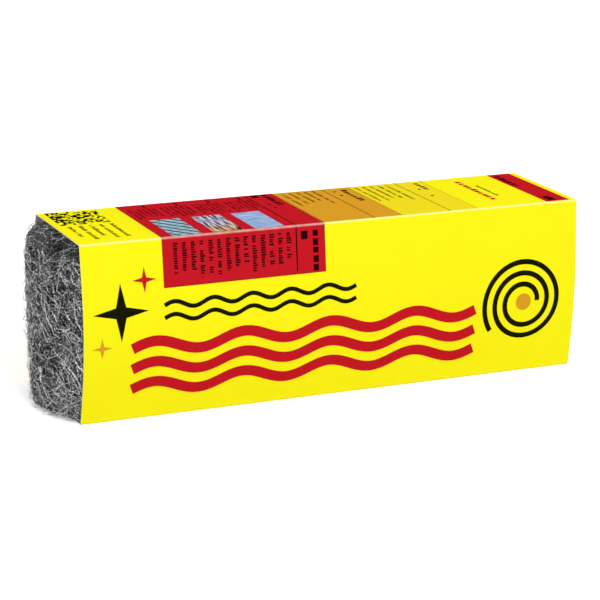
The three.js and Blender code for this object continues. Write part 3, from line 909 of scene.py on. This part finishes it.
def make_tick_group():
    """Rows of plain ticks that run down the card, with gaps between them, as a mask."""
    tree, given = make_group("tick_rows", {
        "Place": None, "Left": 0.0, "Pitch": 3.0, "Rows": 1.0, "Start": 0.0, "Length": 10.0,
        "Ragged": 0.35, "Height": 2.0, "Tick": 1.2, "Ink Share": 0.66, "Gap Share": 0.13,
        "Seed": 1.0,
    }, ("Mask",))
    parts = split(tree, given["Place"])
    across = calc(tree, "DIVIDE", minus(tree, parts[0], given["Left"]), given["Pitch"])
    along = minus(tree, given["Start"], parts[1])
    row = calc(tree, "FLOOR", across)
    within = times(tree, minus(tree, across, row), given["Pitch"])
    ticks = calc(tree, "DIVIDE", along, given["Tick"])
    tick = calc(tree, "FLOOR", ticks)
    phase = minus(tree, ticks, tick)

    def chance(first, second, offset):
        """A random share for a tick or a row. The offset keeps the draws apart."""
        cell = add_node(tree, "CombineXYZ", {
            0: first, 1: second, 2: calc(tree, "ADD", given["Seed"], offset),
        })
        return add_node(tree, "TexWhiteNoise", {"Vector": cell}).outputs[0]

    tall = map_range(tree, chance(tick, row, 0.3), 0.35, 0.85, 0.68, 1.0)
    in_row = calc(tree, "LESS_THAN", within, times(tree, tall, given["Height"]))
    wide = map_range(tree, chance(tick, row, 5.9), 0.0, 1.0, 0.85, 1.2)
    inked = calc(tree, "LESS_THAN", phase, times(tree, wide, given["Ink Share"]))
    kept = calc(tree, "GREATER_THAN", chance(tick, row, 7.1), given["Gap Share"])
    shorter = times(tree, chance(row, 3.3, 13.7), given["Ragged"])
    reach = times(tree, given["Length"], minus(tree, 1.0, shorter))
    started = calc(tree, "GREATER_THAN", along, 0.0)
    running = calc(tree, "LESS_THAN", along, reach)
    first = calc(tree, "GREATER_THAN", row, -0.5)
    last = calc(tree, "LESS_THAN", row, minus(tree, given["Rows"], 0.5))
    mask = in_row
    for condition in (inked, kept, started, running, first, last):
        mask = times(tree, mask, condition)
    add_node(tree, "NodeGroupOutput", {0: mask})
    return tree


def start_material(name, on_card=True):
    """A material, its empty tree, and the place to paint.

    The place is that on the unfolded card in millimetres, or else the object's own in metres.
    """
    material = bpy.data.materials.new(name)
    material.use_nodes = True
    tree = material.node_tree
    tree.nodes.clear()
    if on_card:
        return material, tree, add_node(tree, "UVMap", uv_map="card").outputs[0]
    return material, tree, add_node(tree, "TexCoord").outputs["Object"]


def end_material(tree, inputs):
    shader = add_node(tree, "BsdfPrincipled", inputs)
    add_node(tree, "OutputMaterial", {"Surface": shader})


def bumped(tree, height, distance):
    inputs = {"Height": height, "Distance": distance, "Strength": 1.0}
    return add_node(tree, "Bump", inputs).outputs[0]


def end_print(tree, groups, place, inputs):
    """Finishes a material as varnished print. inputs gives the ink and its marks."""
    inputs = {"Place": place, **inputs}
    surface = add_node(tree, "Group", inputs, node_tree=groups["print"]).outputs
    end_material(tree, {
        "Base Color": surface["Color"],
        "Roughness": surface["Roughness"],
        "Specular IOR Level": 0.0,
        "Normal": bumped(tree, surface["Height"], 0.05 * MM),
    })


def either(tree, masks):
    """One where any of the masks is one."""
    result = masks[0]
    for mask in masks[1:]:
        result = calc(tree, "MAXIMUM", result, mask)
    return result


def strip_mask(tree, value, middle, width):
    """One where value is within half of width of middle."""
    return calc(tree, "LESS_THAN", calc(tree, "ABSOLUTE", minus(tree, value, middle)), width / 2)


BORDER_WIDTH = 0.3
BORDER_INK = 0.55
NO_LOW_EDGE = -99
TICK_KEYS = ("Left", "Pitch", "Rows", "Start", "Length", "Height", "Tick", "Seed")


def tick_mask(tree, groups, place, row):
    """The mask of one block of ticks. A block of one row is bold and has no gaps."""
    values = {"Place": place, **dict(zip(TICK_KEYS, map(float, row)))}
    if row[2] == 1:
        values.update({"Ragged": 0.0, "Gap Share": 0.0, "Ink Share": 0.74})
    return add_node(tree, "Group", values, node_tree=groups["ticks"]).outputs[0]


def make_printed(
    name, groups, ink, rows=(), lines=(), spots=(), mark_ink=BLACK, border=None, red_row=None
):
    """Printed card: rows of ticks, thin lines [x, width, s from, s to] and round spots."""
    material, tree, place = start_material(name)
    parts = split(tree, place)
    masks = [tick_mask(tree, groups, place, row) for row in rows]
    if red_row:
        ink = mix_colours(tree, tick_mask(tree, groups, place, red_row), ink, RED)
    for x, width, low, high in lines:
        line = strip_mask(tree, parts[0], x, width)
        stretch = strip_mask(tree, parts[1], (low + high) / 2, high - low)
        masks.append(times(tree, line, stretch))
    for x, s, radius in spots:
        away = vector_calc(tree, "SUBTRACT", place, (x, s, 0))
        masks.append(calc(tree, "LESS_THAN", vector_calc(tree, "LENGTH", away), radius))
    if border:
        left, right, low = border
        middle = (left + right) / 2
        past_side = calc(tree, "ABSOLUTE", minus(tree, parts[0], middle))
        edge = (right - left) / 2 - BORDER_WIDTH
        masks.append(times(tree, calc(tree, "GREATER_THAN", past_side, edge), BORDER_INK))
        masks.append(times(tree, calc(tree, "LESS_THAN", parts[1], low + BORDER_WIDTH), BORDER_INK))
    values = {"Ink": ink, "Mark Ink": mark_ink}
    if masks:
        values["Marks"] = either(tree, masks)
    end_print(tree, groups, place, values)
    return material


def make_inks(groups):
    low = down_front(HEIGHT - RED_DROP)
    far = HALF_CREASE + TOP_FLAT
    red_rows = [
        (-71.9, 3.71, 14, -2.3, 14.5, 2.1, 0.95, 1),
        (-12.2, 20, 1, -2.3, 17, 3.3, 3.4, 2),
        (-17.4, 20, 1, -2.3, 3.8, 4.3, 4.6, 3),
        (-12.2, 20, 1, top(25), 18, 3.1, 3.2, 4),
        (-17.4, 20, 1, top(25), 3.8, 4.0, 4.4, 5),
    ]
    for index in range(4):
        red_rows.append((-74 + 14 * index, 2.1, 6, top(19), 17, 1.25, 0.9, 11 + index))
        red_rows.append((-66 + 14 * index, 20, 1, top(24.5), 4.5, 1.5, 1.2, 21 + index))
    amber_left = FIELD_LEFT + 2 * FIELD_UNIT
    amber_right = amber_left + FIELD_UNIT
    pale_right = amber_right + FIELD_UNIT
    red_edge = (FIELD_LEFT, amber_left - FIELD_GAP, low)
    amber_edge = (amber_left, amber_right, NO_LOW_EDGE)
    pale_edge = (amber_right, pale_right, NO_LOW_EDGE)
    prints = {
        "red_field": (
            RED, red_rows, [(-19.4, 0.55, down_front(HEIGHT - 18.3), far)],
            [(-15, top(9), 0.7), (-15, top(3), 0.7)], BLACK_ON_RED, red_edge,
        ),
        "amber_field": (
            AMBER, [(-3.8, 3.6, 5, top(24), 24, 1.4, 1.15, 31), (23, 20, 1, top(22), 20, 2.6, 3.0, 32)],
            [(15.9, 0.4, HALF_CREASE, far)],
            [(19.6, top(20), 0.8), (19.6, top(13), 0.8)], BLACK, amber_edge,
        ),
        "pale_field": (
            PALE, [(30.5, 3.6, 5, top(24), 28, 1.4, 1.15, 41), (58, 20, 1, top(22.5), 12, 2.6, 2.8, 42)],
            [(50.4, 0.4, HALF_CREASE, far)],
            [(55.8, top(12), 0.8), (55.8, top(0), 0.8)], BLACK, pale_edge,
        ),
        "red_band": (
            RED, [(97.4, 20, 1, top(22.5), 19, 3.0, 3.6, 51), (98.2, 20, 1, top(-17.5), 8, 5.2, 8.6, 52)],
            (), (), BLACK_ON_RED,
        ),
        "red": (RED,),
        "black": (BLACK,),
        "amber": (AMBER,),
    }
    inks = {name: make_printed(name + "_print", groups, *parts) for name, parts in prints.items()}
    inks["blocks"] = make_blocks(groups)
    for index, name in enumerate(("bars", "streaks", "haze")):
        inks[f"picture_{index + 1}"] = make_picture(name, groups)
    return inks


def make_blocks(groups):
    """A square of random dark blocks."""
    material, tree, place = start_material("block_print")
    cell = LATTICE_SIZE / LATTICE_CELLS
    corner = (LATTICE_LEFT, top(DEPTH / 2 - LATTICE_BACK_MARGIN - LATTICE_SIZE), 0)
    cells = scaled(tree, vector_calc(tree, "SUBTRACT", place, corner), 1 / cell)
    whole = vector_calc(tree, "FLOOR", cells)
    drawn = add_node(tree, "TexWhiteNoise", {"Vector": whole})
    marks = calc(tree, "GREATER_THAN", drawn, 0.46)
    end_print(tree, groups, place, {"Ink": YELLOW, "Mark Ink": BLACK, "Marks": marks})
    return material


def make_picture(name, groups):
    """A small plain picture of stripes: slanting bars, upright streaks or level haze."""
    material, tree, place = start_material(name + "_picture")
    parts = split(tree, place)
    ruffle = noise_at(tree, place, 2.5, 3.0)
    if name == "bars":
        slant = calc(tree, "MULTIPLY_ADD", parts[1], 0.8, parts[0])
        bars = calc(tree, "PINGPONG", slant, 2.6)
        dark = map_range(tree, bars, 0.55, 0.9, 1.0, 0.0)
        cross = calc(tree, "PINGPONG", calc(tree, "MULTIPLY_ADD", parts[0], -0.35, parts[1]), 2.2)
        line = map_range(tree, cross, 0.15, 0.4, 0.6, 0.0)
        panes = mix_colours(tree, ruffle, srgb(96, 140, 160), srgb(196, 222, 232))
        colour = mix_colours(tree, calc(tree, "MAXIMUM", dark, line), panes, srgb(26, 42, 52))
    elif name == "streaks":
        streak = noise_at(tree, place, (0.9, 9.0, 1.0), 3.0)
        fade = map_range(tree, parts[1], 2, 16, 0.0, 1.0)
        tan = mix_colours(tree, fade, srgb(206, 150, 66), srgb(168, 170, 196))
        dark = map_range(tree, streak, 0.42, 0.5, 1.0, 0.0)
        pale = map_range(tree, streak, 0.55, 0.62, 0.0, 0.8)
        streaked = mix_colours(tree, dark, tan, srgb(40, 34, 34))
        colour = mix_colours(tree, pale, streaked, srgb(226, 226, 232))
    else:
        haze = noise_at(tree, place, (9.0, 1.6, 1.0), 3.0)
        fade = map_range(tree, haze, 0.35, 0.65, 0.0, 1.0)
        colour = mix_colours(tree, fade, srgb(118, 152, 200), srgb(178, 200, 228))
    end_print(tree, groups, place, {"Ink": colour})
    return material


def make_board():
    """Bare grey-white board inside the sleeve, with small flecks of recycled fibre."""
    material, tree, place = start_material("bare_board")
    fibre = noise_at(tree, place, (2.2, 0.4, 1.0), 4.0)
    blotch = noise_at(tree, place, 9.0, 3.0)
    flecks = map_range(tree, noise_at(tree, place, 0.7, 1.0), 0.68, 0.74, 0.0, 0.5)
    colour = shaded(tree, shaded(tree, BOARD, fibre, 0.22), blotch, 0.1)
    colour = mix_colours(tree, flecks, colour, srgb(120, 112, 100))
    end_material(tree, {
        "Base Color": colour,
        "Roughness": map_range(tree, fibre, 0.3, 0.7, 0.75, 0.95),
        "Specular IOR Level": 0.2,
        "Normal": bumped(tree, fibre, 0.08 * MM),
    })
    return material


def make_cut_edge():
    """The card's cut edge, white with fine layers."""
    material, tree, place = start_material("cut_edge", on_card=False)
    layers = noise_at(tree, place, (1.2 * MM, 0.25 * MM, 0.8 * MM), 2.0)
    end_material(tree, {
        "Base Color": shaded(tree, CUT_EDGE, layers, 0.25),
        "Roughness": map_range(tree, layers, 0.3, 0.7, 0.7, 0.9),
        "Specular IOR Level": 0.2,
        "Normal": bumped(tree, layers, 0.05 * MM),
    })
    return material


def make_wool_group():
    """Dull steel with each fibre's own shade, darker and lighter patches, and painted glints that
    brighten flecks along the fibres.
    """
    tree, given = make_group("dull_steel", {
        "Place": None, "Shade": 0.5, "Dark": (0.1, 0.1, 0.1, 1), "Light": (0.6, 0.6, 0.6, 1),
        "Patch Size": 0.012, "Contrast": 1.0, "Glint Size": 0.0005,
    }, ("Color", "Roughness"))
    patches = noise_at(tree, given["Place"], given["Patch Size"], 3.0)
    tone = map_range(tree, patches, 0.3, 0.7, -0.1, 0.1)
    own = calc(tree, "POWER", given["Shade"], given["Contrast"])
    glints = noise_at(tree, given["Place"], given["Glint Size"], 2.0)
    shine = map_range(tree, glints, 0.44, 0.6, 0.12, 4.5)
    inputs = {0: own, 1: shine, 2: tone}
    share = add_node(tree, "Math", inputs, operation="MULTIPLY_ADD", use_clamp=True)
    colour = mix_colours(tree, share, given["Dark"], given["Light"])
    rough = map_range(tree, share, 0.0, 1.0, 0.5, 0.32)
    add_node(tree, "NodeGroupOutput", {0: colour, 1: rough})
    return tree


def end_steel(tree, groups, inputs, finish):
    """Finishes a material as dull steel. finish is what else the shader is told."""
    surface = add_node(tree, "Group", inputs, node_tree=groups["steel"]).outputs
    end_material(tree, {"Base Color": surface["Color"], "Roughness": surface["Roughness"], **finish})


def make_fibre_material(groups):
    """Bright steel that takes each fibre's shade from the mesh."""
    material, tree, place = start_material("steel_fibres", on_card=False)
    shade = add_node(tree, "Attribute", attribute_name="shade").outputs["Fac"]
    end_steel(tree, groups, {
        "Place": place, "Shade": shade, "Contrast": 3.1,
        "Dark": srgb(42, 42, 44), "Light": srgb(255, 255, 255),
    }, {"Metallic": 1.0})
    return material


def make_core_material(groups):
    """Dense dark wool: short level streaks stand in for fibres too deep to model."""
    material, tree, place = start_material("dense_wool", on_card=False)
    streaks = noise_at(tree, place, (3 * MM, 3 * MM, 0.35 * MM), 4.0)
    crossed = noise_at(tree, place, (0.5 * MM, 0.5 * MM, 2 * MM), 4.0)
    strands = calc(tree, "MAXIMUM", streaks, times(tree, crossed, 0.9))
    end_steel(tree, groups, {
        "Place": place, "Shade": map_range(tree, strands, 0.4, 0.7, 0.1, 1.0),
        "Dark": srgb(52, 52, 54), "Light": srgb(226, 226, 230),
    }, {"Metallic": 0.85, "Normal": bumped(tree, strands, 0.5 * MM)})
    return material


# Floor, backdrop and light

FLOOR_REACH = 6000
FLOOR_DROP = 0.05


def make_floor():
    """A plain white floor that renders white to the camera and keeps the soft shadow."""
    size = FLOOR_REACH
    piece = add_piece(
        "floor", [(-size, -size, 0), (size, -size, 0), (size, size, 0), (-size, size, 0)],
        [[0, 1, 2, 3]], (make_floor_material(),),
    )
    piece.data.transform(Matrix.Translation((0, 0, -FLOOR_DROP * MM)))


def seen_directly(tree):
    """One for rays from the camera and for those that gloss or glass sends on."""
    path = add_node(tree, "LightPath").outputs
    mirrored = calc(tree, "MAXIMUM", path["Is Glossy Ray"], path["Is Transmission Ray"])
    return calc(tree, "MAXIMUM", path["Is Camera Ray"], mirrored)


def make_floor_material():
    material, tree, place = start_material("floor", on_card=False)
    seen = seen_directly(tree)
    tone = noise_at(tree, place, 0.9, 2.0)
    plain = shaded(tree, (0.8, 0.8, 0.8), tone, 0.02)
    colour = mix_colours(tree, seen, plain, (1, 1, 1, 1))
    end_material(tree, {
        "Base Color": colour,
        "Roughness": 1.0,
        "Specular IOR Level": 0.0,
        "Emission Color": (1, 1, 1, 1),
        "Emission Strength": map_range(tree, seen, 0.0, 1.0, 0.0, 0.36),
    })
    return material


WORLD_LEVEL = 0.47
LAMP_AIM = Vector((0, 0, 0.035))
LAMPS = (
    ("key", (-0.1, -1.25, 1.2), 0.5, 13.0),
    ("fill", (-1.0, -1.0, 0.9), 0.9, 2.2),
    ("back", (0.3, 1.4, 0.9), 1.0, 7.5),
    ("side", (1.4, -0.2, 0.8), 0.9, 3.0),
)


def make_light():
    world = bpy.data.worlds.new("studio")
    world.use_nodes = True
    tree = world.node_tree
    tree.nodes.clear()
    level = map_range(tree, seen_directly(tree), 0.0, 1.0, WORLD_LEVEL, 1.0)
    glow = add_node(tree, "Background", {"Color": (1, 1, 1, 1), "Strength": level})
    add_node(tree, "OutputWorld", {"Surface": glow})
    bpy.context.scene.world = world
    for name, place, size, power in LAMPS:
        data = bpy.data.lights.new(name, "AREA")
        data.shape = "DISK"
        data.size = size
        data.energy = power
        lamp = add_object(name, data)
        lamp.location = place
        lamp.rotation_euler = (LAMP_AIM - Vector(place)).to_track_quat("-Z", "Y").to_euler()
    bpy.context.scene.view_settings.view_transform = "Standard"


# Everything in its place

make_camera()
groups = {
    "print": make_print_group(),
    "ticks": make_tick_group(),
    "steel": make_wool_group(),
}
board = make_board()
sleeve_print = make_printed(
    "yellow_card_print", groups, YELLOW,
    [
        (-105.3, 4.35, 5, top(1.2), 23, 1.9, 1.15, 61),
        (81.6, 20, 1, top(10), 19, 1.4, 1.5, 62),
    ],
    red_row=(76.2, 20, 1, top(19.3), 35, 3.2, 3.5, 63),
)
sleeve = make_sleeve(sleeve_print, board, make_cut_edge())
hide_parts("card_sleeve")
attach(sleeve, "root")
make_print(make_inks(groups))

core = make_core(make_core_material(groups))
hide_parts("wool_pad")
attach(core, "root")

fibre_tree = make_fibre_tree()
fibre_finish = make_fibre_material(groups)
for side, end in (("right", 1), ("left", -1)):
    guide = make_guide(end)
    for kind, numbers in FIBRES.items():
        fibres = dict(zip(FIBRE_KEYS, numbers))
        for key in FIBRE_SIZES:
            fibres[key] *= MM
        if end > 0:
            fibres["Density"] *= RIGHT_SHARE
            fibres["Seed"] += RIGHT_SEED
        grow_fibres(f"{side}_{kind}", fibre_tree, guide, fibres, fibre_finish)
    bpy.data.objects.remove(guide)

make_floor()
make_light()
